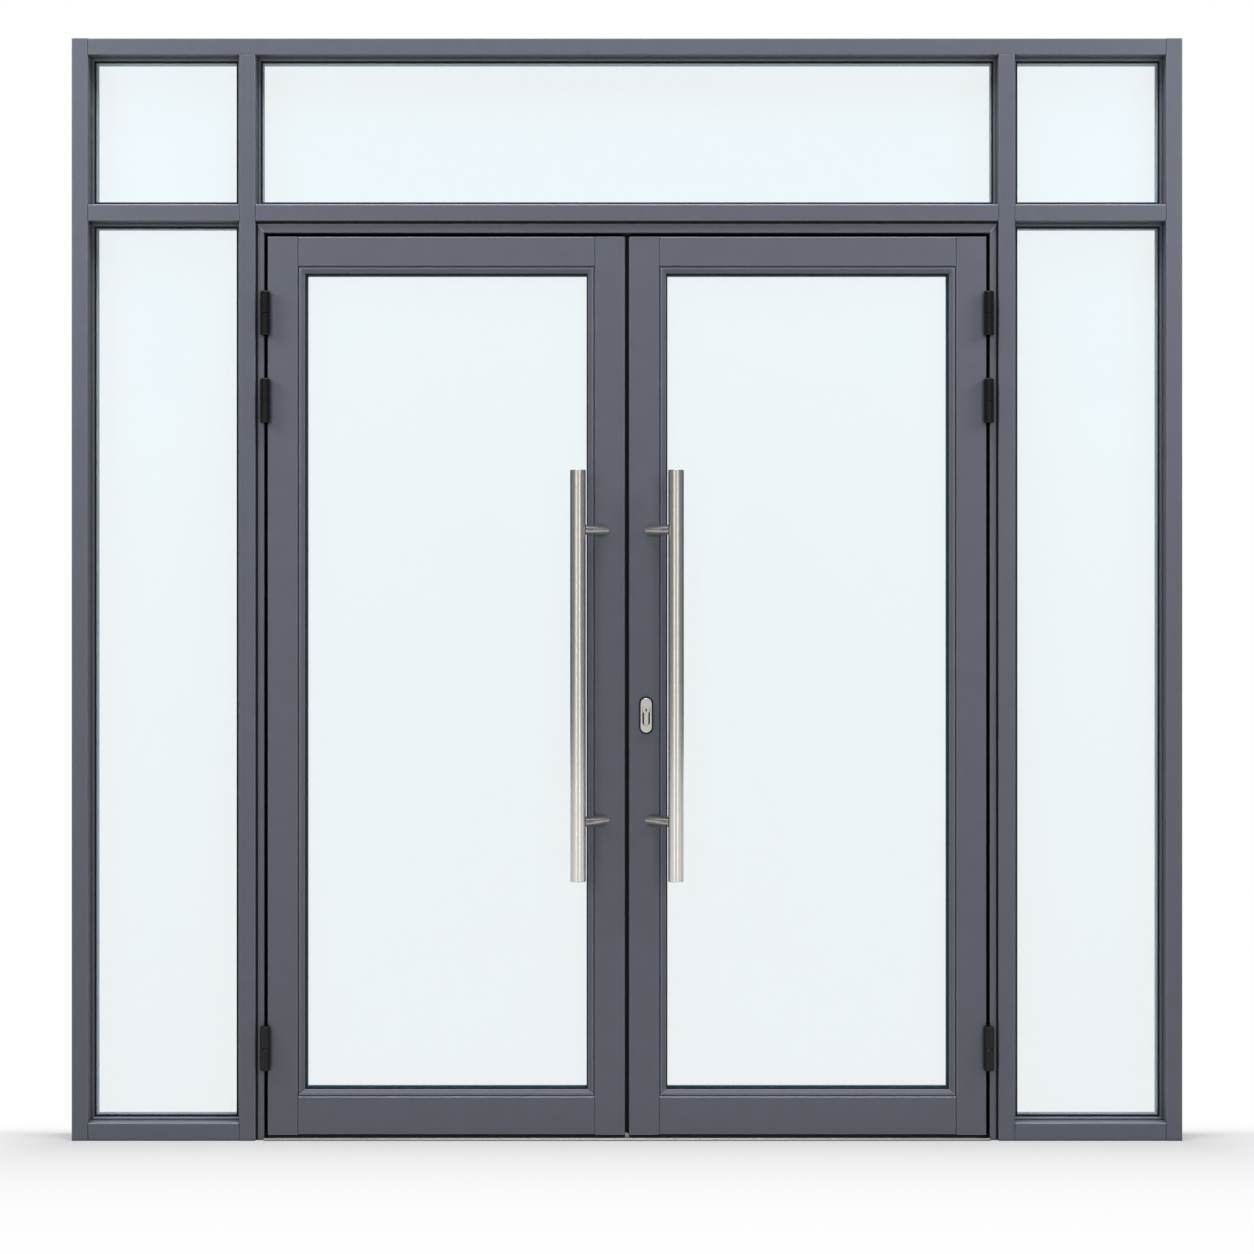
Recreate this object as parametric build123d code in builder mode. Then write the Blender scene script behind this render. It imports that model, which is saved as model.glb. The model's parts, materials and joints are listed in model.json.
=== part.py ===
from build123d import *
import os
from collections import namedtuple
from math import sqrt

# Double entrance door in an aluminium frame with two sidelights and three toplights.
# Millimetres. X runs to the right, Y from the outside to the inside, Z up.
# The origin lies on the floor, at the middle of the threshold and of the frame's depth.

# The frame: overall size, and the seen faces of its hollow extrusions
frame_width = 2720.0
frame_height = 2700.0
frame_depth = 70.0
profile_face = 40.0
sill_face = 44.0
profile_wall = 2.5
arris = 2.0
mullion_spacing = 1860.0
toplight_height = 367.0

# The glazing: sealed units of two panes between gaskets, a rear leg and an outside bead
pane_thickness = 6.0
cavity = 12.0
glass_edge_gap = 4.0
gasket_thickness = 1.5
gasket_setback = 2.0
spacer_setback = 3.0
spacer_face = 6.5
mitre_gap = 0.3
leg_height = 12.0
leg_depth = 6.0
bead_face = 7.5
bead_depth = 5.0
bead_slope = 3.0

# The door frame inside the mullions: set back, with a shadow groove and a stop behind the leaves
door_recess = 8.0
door_jamb_face = 20.0
door_head_face = 28.0
shadow_groove = 4.0
shadow_groove_depth = 12.0
stop_reach = 20.0
stop_depth = 10.0
stop_seal_face = 18.0
stop_seal_height = 3.0
groove_seal_setback = 2.0
threshold_height = 6.0
threshold_bevel = 3.0

# The leaves, and the gaps around them
leaf_thickness = 44.0
hinge_gap = 9.0
head_gap = 10.0
meeting_gap = 10.5
floor_gap = 8.0
stile_face = 74.0
top_rail_face = 72.0
bottom_rail_face = 93.0
leaf_leg_height = 20.0
leaf_leg_depth = 8.5
leaf_bead_face = 16.5
leaf_bead_groove = 3.5
leaf_bead_lip = 4.0
leaf_bead_setback = 2.0
leaf_bead_foot = 2.5
leaf_bead_edge = 1.5
seal_setback = 3.0
edge_seal_height = 2.0
edge_seal_face = 6.0
floor_seal_height = 2.8
floor_seal_face = 10.0
floor_seal_inset = 5.0

# The barrel hinges: a lower knuckle with a pin on the frame, an upper knuckle on the leaf
bottom_hinge_rise = 213.0
top_hinge_drop = 189.0
hinge_pair_spacing = 214.0
knuckle_diameter = 24.0
knuckle_height = 54.0
knuckle_gap = 0.6
knuckle_end_chamfer = 2.5
knuckle_split_chamfer = 0.6
barrel_clearance = 0.3
pin_diameter = 10.0
pin_length = 40.0
pin_clearance = 0.3
hinge_plate = 3.0
hinge_plate_reach = 24.0

# The pull handles: a long bar on two posts that slant from the meeting stile towards the glass
bar_diameter = 38.0
bar_length = 1000.0
bar_level = 1140.0
bar_chamfer = 1.0
bar_stand_off = 58.0
post_diameter = 25.0
post_spacing = 711.0
post_foot = 61.0

# The lock in the active leaf: a profile cylinder in an oval cover over a base plate, on each face
lock_level = 1055.0
lock_offset = 47.0
plug_diameter = 18.0
cylinder_web = 10.5
cylinder_height = 47.0
cylinder_projection = 1.0
lock_clearance = 0.3
base_width = 34.0
base_height = 92.0
base_thickness = 2.0
cover_width = 27.5
cover_height = 84.5
cover_thickness = 6.0
cover_rim = 3.5
cover_recess = 1.5
cover_drop = 13.0
keyway_width = 3.4
keyway_height = 8.2
keyway_depth = 8.0

# The lock's forend in one meeting edge, with its bolt end, and the strike plate in the other
forend_width = 20.0
forend_length = 245.0
bolt_width = 11.0
bolt_height = 37.0
bolt_rise = 45.0
bolt_projection = 1.0

# Faces of the frame, worked out from the driving dimensions
frame_front = -frame_depth / 2
frame_back = frame_depth / 2
jamb_face = frame_width / 2 - profile_face
head_level = frame_height - profile_face
mullion_outer = (mullion_spacing + profile_face) / 2
mullion_inner = (mullion_spacing - profile_face) / 2
transom_top = head_level - toplight_height
transom_level = transom_top - profile_face

door_front = frame_front + door_recess
door_jamb_inner = mullion_inner - door_jamb_face
door_head_level = transom_level - door_head_face
head_groove = shadow_groove * door_head_face / door_jamb_face
groove_back = door_front + shadow_groove_depth
stop_front = frame_back - stop_depth

leaf_front = door_front
leaf_back = leaf_front + leaf_thickness
leaf_outer = door_jamb_inner - hinge_gap
leaf_inner = meeting_gap / 2
leaf_base = threshold_height + floor_gap
leaf_top = door_head_level - head_gap

unit_thickness = 2 * pane_thickness + cavity
leg_front = frame_back - leg_depth
leaf_leg_front = leaf_back - leaf_leg_depth

hinge_x = door_jamb_inner - hinge_gap / 2
hinge_y = door_front - barrel_clearance - knuckle_diameter / 2
hinge_plate_back = door_front + hinge_plate_reach
top_hinge_level = leaf_top - top_hinge_drop
hinge_levels = (leaf_base + bottom_hinge_rise, top_hinge_level - hinge_pair_spacing, top_hinge_level)

bar_y = leaf_front - bar_stand_off
bar_x = post_foot + bar_stand_off

Light = namedtuple("Light", "x_min x_max z_min z_max")
side_light = Light(mullion_outer, jamb_face, sill_face, transom_level)
side_toplight = Light(mullion_outer, jamb_face, transom_top, head_level)
centre_toplight = Light(-mullion_inner, mullion_inner, transom_top, head_level)
leaf_light = Light(
    leaf_inner + stile_face,
    leaf_outer - stile_face,
    leaf_base + bottom_rail_face,
    leaf_top - top_rail_face,
)


def on_side(light, side):
    """The same light on the left (side -1) or on the right (side +1)."""
    x_ends = sorted((side * light.x_min, side * light.x_max))
    return Light(x_ends[0], x_ends[1], light.z_min, light.z_max)


def block_section(u_min, u_max, v_min, v_max, mode=Mode.ADD):
    """Draw a plain rectangle between two corners in the current sketch."""
    with Locations(((u_min + u_max) / 2, (v_min + v_max) / 2)):
        Rectangle(abs(u_max - u_min), abs(v_max - v_min), mode=mode)


def hollow_section(u_min, u_max, v_min, v_max):
    """Draw a hollow extrusion with eased arrises between two corners in the current sketch."""
    width = abs(u_max - u_min)
    height = abs(v_max - v_min)
    with Locations(((u_min + u_max) / 2, (v_min + v_max) / 2)):
        outline = Rectangle(width, height)
        chamfer(outline.vertices(), arris)
        Rectangle(width - 2 * profile_wall, height - 2 * profile_wall, mode=Mode.SUBTRACT)


def ease_ends(bar):
    """Ease the front edges at both ends of a bar along X, where it meets the uprights."""
    front = bar.faces().sort_by(Axis.Y)[0]
    chamfer(front.edges().filter_by(Axis.Z), arris)


def light_section(light, inset):
    """Draw the light's rectangle, moved inwards by an inset, in the current XZ sketch."""
    with Locations(((light.x_min + light.x_max) / 2, (light.z_min + light.z_max) / 2)):
        Rectangle(light.x_max - light.x_min - 2 * inset, light.z_max - light.z_min - 2 * inset)


def keep(part, name):
    """Label a finished piece and write it."""
    part.label = name
    export_step(part, f"parts/{name}.step")


def gathered(parts):
    """Several like solids that stand apart, as one piece."""
    with BuildPart() as group:
        add(parts)
    return group.part


def twin(part):
    """The same piece on the other side of the door's middle plane."""
    with BuildPart() as other:
        mirror(part, about=Plane.YZ)
    return other.part


def upright(x_min, x_max, z_top, legs):
    """A hollow upright from the floor, with a rear glazing leg beside each light."""
    with BuildPart() as bar:
        with BuildSketch(Plane.XY):
            hollow_section(x_min, x_max, frame_front, frame_back)
        extrude(amount=z_top)
        for leg_root, leg_tip, light in legs:
            with BuildSketch(Plane.XY.offset(light.z_min)):
                block_section(leg_root, leg_tip, leg_front, frame_back)
            extrude(amount=light.z_max - light.z_min)
    return bar.part


def crossbar(x_min, x_max, z_min, z_max, legs):
    """A hollow horizontal between two uprights, with a rear glazing leg along each light."""
    with BuildPart() as bar:
        with BuildSketch(Plane.YZ.offset(x_min)):
            hollow_section(frame_front, frame_back, z_min, z_max)
        extrude(amount=x_max - x_min)
        ease_ends(bar)
        for leg_root, leg_tip, light in legs:
            with BuildSketch(Plane.YZ.offset(light.x_min + leg_height)):
                block_section(leg_front, frame_back, leg_root, leg_tip)
            extrude(amount=light.x_max - light.x_min - 2 * leg_height)
    return bar.part


def sealed_unit(light, back):
    """Two panes of one sealed unit, whose rear face lies at Y = back."""
    with BuildPart() as unit:
        for pane_back in (back, back - pane_thickness - cavity):
            with BuildSketch(Plane.XZ.offset(-pane_back)):
                light_section(light, glass_edge_gap)
            extrude(amount=pane_thickness)
    return unit.part


def spacer_ring(light, back):
    """The bar that holds the two panes of a sealed unit apart, all round its edge."""
    inset = glass_edge_gap + spacer_setback
    with BuildPart() as ring:
        with BuildSketch(Plane.XZ.offset(pane_thickness - back)):
            light_section(light, inset)
        extrude(amount=cavity)
        with BuildSketch(Plane.XZ.offset(pane_thickness - back)):
            light_section(light, inset + spacer_face)
        extrude(amount=cavity, mode=Mode.SUBTRACT)
    return ring.part


def gasket_rings(light, back, reach):
    """The gaskets on the two faces of a sealed unit, seen as a black line beside the glass."""
    with BuildPart() as rings:
        for gasket_back in (back + gasket_thickness, back - unit_thickness):
            with BuildSketch(Plane.XZ.offset(-gasket_back)):
                light_section(light, gasket_setback)
            extrude(amount=gasket_thickness)
            with BuildSketch(Plane.XZ.offset(-gasket_back)):
                light_section(light, reach)
            extrude(amount=gasket_thickness, mode=Mode.SUBTRACT)
    return rings.part


def bead_length(middle, inward, along, length, section):
    """One glazing bead along a side of a light, cut to a mitre at both ends.

    The section's points are distances from the light's edge and heights towards the outside.
    """
    reach = 2 * max(point[0] for point in section)
    half = length / 2 - mitre_gap
    with BuildPart() as bead:
        with BuildSketch(Plane(origin=middle, x_dir=inward, z_dir=along)):
            with BuildLine():
                Polyline(*section, close=True)
            make_face()
        extrude(amount=length / 2, both=True)
        with BuildSketch(Plane(origin=middle, x_dir=along, z_dir=(0, -1, 0))):
            with BuildLine():
                Polyline((-half, 0), (half, 0), (half - reach, reach), (reach - half, reach), close=True)
            make_face()
        extrude(amount=frame_depth, both=True, mode=Mode.INTERSECT)
    return bead.part


def bead_set(light, section):
    """The four mitred beads round one light."""
    x_mid = (light.x_min + light.x_max) / 2
    z_mid = (light.z_min + light.z_max) / 2
    width = light.x_max - light.x_min
    height = light.z_max - light.z_min
    return [
        bead_length((x_mid, 0, light.z_min), (0, 0, 1), (1, 0, 0), width, section),
        bead_length((x_mid, 0, light.z_max), (0, 0, -1), (-1, 0, 0), width, section),
        bead_length((light.x_min, 0, z_mid), (1, 0, 0), (0, 0, -1), height, section),
        bead_length((light.x_max, 0, z_mid), (-1, 0, 0), (0, 0, 1), height, section),
    ]


os.makedirs("parts", exist_ok=True)

# Jambs and mullions
right_jamb = upright(
    jamb_face,
    frame_width / 2,
    frame_height,
    [(jamb_face, jamb_face - leg_height, light) for light in (side_light, side_toplight)],
)
keep(right_jamb, "right_jamb")
keep(twin(right_jamb), "left_jamb")

right_mullion = upright(
    mullion_inner,
    mullion_outer,
    head_level,
    [
        (mullion_outer, mullion_outer + leg_height, side_light),
        (mullion_outer, mullion_outer + leg_height, side_toplight),
        (mullion_inner, mullion_inner - leg_height, centre_toplight),
    ],
)
keep(right_mullion, "right_mullion")
keep(twin(right_mullion), "left_mullion")

# Head, transoms and sills
toplights = (on_side(side_toplight, -1), centre_toplight, on_side(side_toplight, 1))
head = crossbar(
    -jamb_face,
    jamb_face,
    head_level,
    frame_height,
    [(head_level, head_level - leg_height, light) for light in toplights],
)
keep(head, "head")

centre_transom = crossbar(
    -mullion_inner,
    mullion_inner,
    transom_level,
    transom_top,
    [(transom_top, transom_top + leg_height, centre_toplight)],
)
keep(centre_transom, "centre_transom")

right_transom = crossbar(
    mullion_outer,
    jamb_face,
    transom_level,
    transom_top,
    [
        (transom_top, transom_top + leg_height, side_toplight),
        (transom_level, transom_level - leg_height, side_light),
    ],
)
keep(right_transom, "right_transom")
keep(twin(right_transom), "left_transom")

right_sill = crossbar(
    mullion_outer,
    jamb_face,
    0,
    sill_face,
    [(sill_face, sill_face + leg_height, side_light)],
)
keep(right_sill, "right_sill")
keep(twin(right_sill), "left_sill")

# Fixed glazing
fixed_back = leg_front - gasket_thickness
fixed_lights = {
    "left_sidelight": on_side(side_light, -1),
    "right_sidelight": side_light,
    "left_toplight": on_side(side_toplight, -1),
    "centre_toplight": centre_toplight,
    "right_toplight": side_toplight,
}
for name, light in fixed_lights.items():
    keep(sealed_unit(light, fixed_back), f"{name}_glass")

bead_base = unit_thickness + gasket_thickness - fixed_back
fixed_bead_section = [
    (0, bead_base),
    (bead_face, bead_base),
    (bead_face, bead_base + bead_depth - bead_slope),
    (bead_face - bead_slope, bead_base + bead_depth),
    (0, bead_base + bead_depth),
]
fixed_beads = []
for light in fixed_lights.values():
    fixed_beads += bead_set(light, fixed_bead_section)
keep(gathered(fixed_beads), "fixed_light_beads")
fixed_gaskets = [gasket_rings(light, fixed_back, leg_height) for light in fixed_lights.values()]
keep(gathered(fixed_gaskets), "fixed_light_gaskets")
fixed_spacers = [spacer_ring(light, fixed_back) for light in fixed_lights.values()]
keep(gathered(fixed_spacers), "fixed_light_spacers")

# Door frame: two jambs and a head, mitred at the corners
door_head_outline = [
    (-mullion_inner, transom_level),
    (mullion_inner, transom_level),
    (door_jamb_inner, door_head_level),
    (door_jamb_inner - stop_reach, door_head_level - stop_reach),
    (stop_reach - door_jamb_inner, door_head_level - stop_reach),
    (-door_jamb_inner, door_head_level),
]

with BuildPart() as right_door_jamb:
    with BuildSketch(Plane.XY):
        with BuildLine():
            Polyline(
                (door_jamb_inner, door_front),
                (mullion_inner - shadow_groove, door_front),
                (mullion_inner - shadow_groove, groove_back),
                (mullion_inner, groove_back),
                (mullion_inner, frame_back),
                (door_jamb_inner - stop_reach, frame_back),
                (door_jamb_inner - stop_reach, stop_front),
                (door_jamb_inner, stop_front),
                close=True,
            )
        outline = make_face()
        chamfer(outline.vertices().group_by(Axis.Y)[0], arris)
        offset(outline, amount=-profile_wall, kind=Kind.INTERSECTION, mode=Mode.SUBTRACT)
    extrude(amount=transom_level)
    with BuildSketch(Plane.XZ):
        with BuildLine():
            Polyline(*door_head_outline, close=True)
        make_face()
    extrude(amount=frame_depth, both=True, mode=Mode.SUBTRACT)
keep(right_door_jamb.part, "right_door_jamb")
keep(twin(right_door_jamb.part), "left_door_jamb")

with BuildPart() as door_head:
    with BuildSketch(Plane.YZ):
        with BuildLine():
            Polyline(
                (door_front, door_head_level),
                (door_front, transom_level - head_groove),
                (groove_back, transom_level - head_groove),
                (groove_back, transom_level),
                (frame_back, transom_level),
                (frame_back, door_head_level - stop_reach),
                (stop_front, door_head_level - stop_reach),
                (stop_front, door_head_level),
                close=True,
            )
        outline = make_face()
        chamfer(outline.vertices().group_by(Axis.X)[0], arris)
        offset(outline, amount=-profile_wall, kind=Kind.INTERSECTION, mode=Mode.SUBTRACT)
    extrude(amount=mullion_inner, both=True)
    with BuildSketch(Plane.XZ):
        with BuildLine():
            Polyline(*door_head_outline, close=True)
        make_face()
    extrude(amount=frame_depth, both=True, mode=Mode.INTERSECT)
keep(door_head.part, "door_head")

# Door frame seals, each up both jambs and across the head: on the stop, and in the shadow groove
seal_x = door_jamb_inner - stop_reach
seal_outer = seal_x + stop_seal_face
seal_z = door_head_level - stop_reach
groove_x = mullion_inner - shadow_groove
groove_z = transom_level - head_groove
with BuildPart() as door_frame_seals:
    with BuildSketch(Plane.XZ.offset(-stop_front)):
        block_section(-seal_outer, seal_outer, threshold_height, seal_z + stop_seal_face)
        block_section(-seal_x, seal_x, threshold_height, seal_z, mode=Mode.SUBTRACT)
    extrude(amount=stop_seal_height)
    with BuildSketch(Plane.XZ.offset(-groove_back)):
        block_section(-mullion_inner, mullion_inner, 0, transom_level)
        block_section(-groove_x, groove_x, 0, groove_z, mode=Mode.SUBTRACT)
    extrude(amount=shadow_groove_depth - groove_seal_setback)
keep(door_frame_seals.part, "door_frame_seals")

# Threshold between the door jambs and in front of their stops, bevelled along both edges
with BuildPart() as threshold:
    with BuildSketch(Plane.YZ):
        with BuildLine():
            Polyline(
                (frame_front, 0),
                (stop_front, 0),
                (stop_front, threshold_height - threshold_bevel),
                (stop_front - threshold_bevel, threshold_height),
                (frame_front + threshold_bevel, threshold_height),
                (frame_front, threshold_height - threshold_bevel),
                close=True,
            )
        make_face()
    extrude(amount=door_jamb_inner, both=True)
keep(threshold.part, "threshold")


# Barrel hinges
def frame_knuckle(level):
    """The lower knuckle of one right hinge, with its pin and the plate on the door jamb's edge."""
    base = level - knuckle_height - knuckle_gap / 2
    with BuildPart() as knuckle:
        with BuildSketch(Plane.XY.offset(base)):
            with Locations((hinge_x, hinge_y)):
                Circle(knuckle_diameter / 2)
        extrude(amount=knuckle_height)
        chamfer(knuckle.edges().group_by(Axis.Z)[0], knuckle_end_chamfer)
        with BuildSketch(Plane.XY.offset(base)):
            block_section(door_jamb_inner - hinge_plate, door_jamb_inner, hinge_y, hinge_plate_back)
        extrude(amount=knuckle_height)
        with BuildSketch(Plane.XY.offset(base + knuckle_height)):
            with Locations((hinge_x, hinge_y)):
                Circle(pin_diameter / 2)
        extrude(amount=pin_length)
    return knuckle.part


def leaf_knuckle(level):
    """The upper knuckle of one right hinge, bored for the pin, with the plate on the leaf's edge."""
    base = level + knuckle_gap / 2
    with BuildPart() as knuckle:
        with BuildSketch(Plane.XY.offset(base)):
            with Locations((hinge_x, hinge_y)):
                Circle(knuckle_diameter / 2)
        extrude(amount=knuckle_height)
        chamfer(knuckle.edges().group_by(Axis.Z)[-1], knuckle_end_chamfer)
        chamfer(knuckle.edges().group_by(Axis.Z)[0], knuckle_split_chamfer)
        with BuildSketch(Plane.XY.offset(base)):
            block_section(leaf_outer, leaf_outer + hinge_plate, hinge_y, hinge_plate_back)
        extrude(amount=knuckle_height)
        with BuildSketch(Plane.XY.offset(base)):
            with Locations((hinge_x, hinge_y)):
                Circle(pin_diameter / 2 + pin_clearance)
        extrude(amount=pin_length, mode=Mode.SUBTRACT)
    return knuckle.part


right_frame_hinges = gathered([frame_knuckle(level) for level in hinge_levels])
keep(right_frame_hinges, "right_frame_hinges")
keep(twin(right_frame_hinges), "left_frame_hinges")
right_leaf_hinges = gathered([leaf_knuckle(level) for level in hinge_levels])
keep(right_leaf_hinges, "right_leaf_hinges")
keep(twin(right_leaf_hinges), "left_leaf_hinges")


# Leaf frame: full stiles, with the rails cut between them
def leaf_stile(x_min, x_max, leg_root, leg_tip):
    """A hollow stile with a rear glazing leg beside the leaf's light."""
    with BuildPart() as stile:
        with BuildSketch(Plane.XY.offset(leaf_base)):
            hollow_section(x_min, x_max, leaf_front, leaf_back)
        extrude(amount=leaf_top - leaf_base)
        with BuildSketch(Plane.XY.offset(leaf_light.z_min)):
            block_section(leg_root, leg_tip, leaf_leg_front, leaf_back)
        extrude(amount=leaf_light.z_max - leaf_light.z_min)
    return stile.part


def leaf_rail(z_min, z_max, leg_root, leg_tip):
    """A hollow rail between the stiles with a rear glazing leg along the leaf's light."""
    with BuildPart() as rail:
        with BuildSketch(Plane.YZ.offset(leaf_light.x_min)):
            hollow_section(leaf_front, leaf_back, z_min, z_max)
        extrude(amount=leaf_light.x_max - leaf_light.x_min)
        ease_ends(rail)
        with BuildSketch(Plane.YZ.offset(leaf_light.x_min + leaf_leg_height)):
            block_section(leaf_leg_front, leaf_back, leg_root, leg_tip)
        extrude(amount=leaf_light.x_max - leaf_light.x_min - 2 * leaf_leg_height)
    return rail.part


def cylinder_section(growth):
    """Draw the lock cylinder's outline, a round plug over a narrow web, in the current XZ sketch."""
    plug_radius = plug_diameter / 2 + growth
    web = cylinder_web + 2 * growth
    foot = lock_level + plug_diameter / 2 - cylinder_height + cylinder_web / 2
    with Locations((lock_offset, lock_level)):
        Circle(plug_radius)
    block_section(lock_offset - web / 2, lock_offset + web / 2, foot, lock_level)
    with Locations((lock_offset, foot)):
        Circle(web / 2)


leaf_middle = (leaf_front + leaf_back) / 2
bolt_level = lock_level + bolt_rise
forend_box = (
    leaf_middle - forend_width / 2,
    leaf_middle + forend_width / 2,
    bolt_level - forend_length / 2,
    bolt_level + forend_length / 2,
)
bolt_box = (
    leaf_middle - bolt_width / 2,
    leaf_middle + bolt_width / 2,
    bolt_level - bolt_height / 2,
    bolt_level + bolt_height / 2,
)

right_hinge_stile = leaf_stile(
    leaf_light.x_max, leaf_outer, leaf_light.x_max, leaf_light.x_max - leaf_leg_height
)
right_top_rail = leaf_rail(
    leaf_light.z_max, leaf_top, leaf_light.z_max, leaf_light.z_max - leaf_leg_height
)
right_bottom_rail = leaf_rail(
    leaf_base, leaf_light.z_min, leaf_light.z_min, leaf_light.z_min + leaf_leg_height
)
with BuildPart() as plain_meeting_stile:
    add(leaf_stile(leaf_inner, leaf_light.x_min, leaf_light.x_min, leaf_light.x_min + leaf_leg_height))
    with BuildSketch(Plane.YZ.offset(leaf_inner)):
        block_section(*forend_box)
    extrude(amount=profile_wall, mode=Mode.SUBTRACT)
with BuildPart() as right_meeting_stile:
    add(plain_meeting_stile.part)
    with BuildSketch(Plane.XZ):
        cylinder_section(lock_clearance)
    extrude(amount=frame_depth, both=True, mode=Mode.SUBTRACT)

# Leaf glazing: the beads slope from a lip beside the frame down to the glass
leaf_glass_back = leaf_leg_front - gasket_thickness
leaf_bead_base = unit_thickness + gasket_thickness - leaf_glass_back
leaf_bead_top = -leaf_front - leaf_bead_setback
leaf_bead_section = [
    (0, leaf_bead_base),
    (leaf_bead_face, leaf_bead_base),
    (leaf_bead_face, leaf_bead_base + leaf_bead_edge),
    (leaf_bead_groove + leaf_bead_lip, leaf_bead_top),
    (leaf_bead_groove, leaf_bead_top),
    (leaf_bead_groove, leaf_bead_base + leaf_bead_foot),
    (0, leaf_bead_base + leaf_bead_foot),
]
right_leaf_glass = sealed_unit(leaf_light, leaf_glass_back)
right_leaf_spacer = spacer_ring(leaf_light, leaf_glass_back)
right_leaf_gaskets = gasket_rings(leaf_light, leaf_glass_back, leaf_leg_height)
right_leaf_beads = gathered(bead_set(leaf_light, leaf_bead_section))

# Leaf seals near the front: one up the meeting edge, one under the bottom rail
seal_front = leaf_front + seal_setback
with BuildPart() as right_leaf_seals:
    with BuildSketch(Plane.XY.offset(leaf_base)):
        block_section(leaf_inner - edge_seal_height, leaf_inner, seal_front, seal_front + edge_seal_face)
    extrude(amount=leaf_top - leaf_base)
    with BuildSketch(Plane.YZ.offset(leaf_inner + floor_seal_inset)):
        block_section(seal_front, seal_front + floor_seal_face, leaf_base - floor_seal_height, leaf_base)
    extrude(amount=leaf_outer - leaf_inner - 2 * floor_seal_inset)

# Pull handle: bar and posts welded into one piece, the posts cut flush with the leaf's face
with BuildPart() as right_pull_handle:
    with BuildSketch(Plane.XY.offset(bar_level - bar_length / 2)):
        with Locations((bar_x, bar_y)):
            Circle(bar_diameter / 2)
    extrude(amount=bar_length)
    chamfer(right_pull_handle.edges().filter_by(GeomType.CIRCLE), bar_chamfer)
    for post_level in (bar_level - post_spacing / 2, bar_level + post_spacing / 2):
        with BuildSketch(Plane(origin=(bar_x, bar_y, post_level), x_dir=(0, 0, 1), z_dir=(-1, 1, 0))):
            Circle(post_diameter / 2)
        extrude(amount=sqrt(2) * bar_stand_off + post_diameter)
    split(bisect_by=Plane.XZ.offset(-leaf_front), keep=Keep.TOP)

leaf_pieces = {
    "hinge_stile": right_hinge_stile,
    "top_rail": right_top_rail,
    "bottom_rail": right_bottom_rail,
    "glass": right_leaf_glass,
    "spacer": right_leaf_spacer,
    "gaskets": right_leaf_gaskets,
    "beads": right_leaf_beads,
    "seals": right_leaf_seals.part,
    "pull_handle": right_pull_handle.part,
}
for name, part in leaf_pieces.items():
    keep(part, f"right_leaf_{name}")
    keep(twin(part), f"left_leaf_{name}")
keep(right_meeting_stile.part, "right_leaf_meeting_stile")
keep(twin(plain_meeting_stile.part), "left_leaf_meeting_stile")

# Lock: the cylinder passes through the stile, with a base plate and a rimmed cover on each face
outer_base = leaf_front - base_thickness
inner_base = leaf_back + base_thickness
outer_cover = outer_base - cover_thickness
inner_cover = inner_base + cover_thickness
cover_middle = (lock_offset, lock_level - cover_drop)

with BuildPart() as lock_bases:
    for plate_back in (leaf_front, inner_base):
        with BuildSketch(Plane.XZ.offset(-plate_back)):
            with Locations(cover_middle):
                SlotOverall(base_height, base_width, rotation=90)
        extrude(amount=base_thickness)
    with BuildSketch(Plane.XZ):
        cylinder_section(lock_clearance)
    extrude(amount=frame_depth, both=True, mode=Mode.SUBTRACT)
keep(lock_bases.part, "lock_bases")

with BuildPart() as lock_covers:
    for plate_back in (outer_base, inner_cover):
        with BuildSketch(Plane.XZ.offset(-plate_back)):
            with Locations(cover_middle):
                SlotOverall(cover_height, cover_width, rotation=90)
        extrude(amount=cover_thickness)
    for recess_back in (outer_cover + cover_recess, inner_cover):
        with BuildSketch(Plane.XZ.offset(-recess_back)):
            with Locations(cover_middle):
                SlotOverall(cover_height - 2 * cover_rim, cover_width - 2 * cover_rim, rotation=90)
        extrude(amount=cover_recess, mode=Mode.SUBTRACT)
    with BuildSketch(Plane.XZ):
        with Locations((lock_offset, lock_level + (plug_diameter - cylinder_height) / 2)):
            SlotOverall(cylinder_height + 2 * lock_clearance, plug_diameter + 2 * lock_clearance, rotation=90)
    extrude(amount=frame_depth, both=True, mode=Mode.SUBTRACT)
keep(lock_covers.part, "lock_covers")

cylinder_front = outer_cover - cylinder_projection
cylinder_back = inner_cover + cylinder_projection
with BuildPart() as lock_cylinder:
    with BuildSketch(Plane.XZ.offset(-cylinder_back)):
        cylinder_section(0)
    extrude(amount=cylinder_back - cylinder_front)
    for keyway_back in (cylinder_front + keyway_depth, cylinder_back):
        with BuildSketch(Plane.XZ.offset(-keyway_back)):
            with Locations((lock_offset, lock_level)):
                SlotOverall(keyway_height, keyway_width, rotation=90)
        extrude(amount=keyway_depth, mode=Mode.SUBTRACT)
keep(lock_cylinder.part, "lock_cylinder")

with BuildPart() as lock_forend:
    with BuildSketch(Plane.YZ.offset(leaf_inner)):
        block_section(*forend_box)
    extrude(amount=profile_wall)
    with BuildSketch(Plane.YZ.offset(leaf_inner)):
        block_section(*bolt_box)
    extrude(amount=-bolt_projection)
keep(lock_forend.part, "lock_forend")

with BuildPart() as strike_plate:
    with BuildSketch(Plane.YZ.offset(leaf_inner)):
        block_section(*forend_box)
        block_section(*bolt_box, mode=Mode.SUBTRACT)
    extrude(amount=profile_wall)
keep(twin(strike_plate.part), "strike_plate")
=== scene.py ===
# %% [markdown]
# A double entrance door: two glazed leaves in an aluminium frame with sidelights and toplights.
# The construction arrives as a fixed model, already at its real size, and this lesson dresses it:
# finishes for every surface, a few pieces that need smooth curves, a camera and a small studio.
# Loading comes first, because every later piece reads its place from the loaded model.

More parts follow.
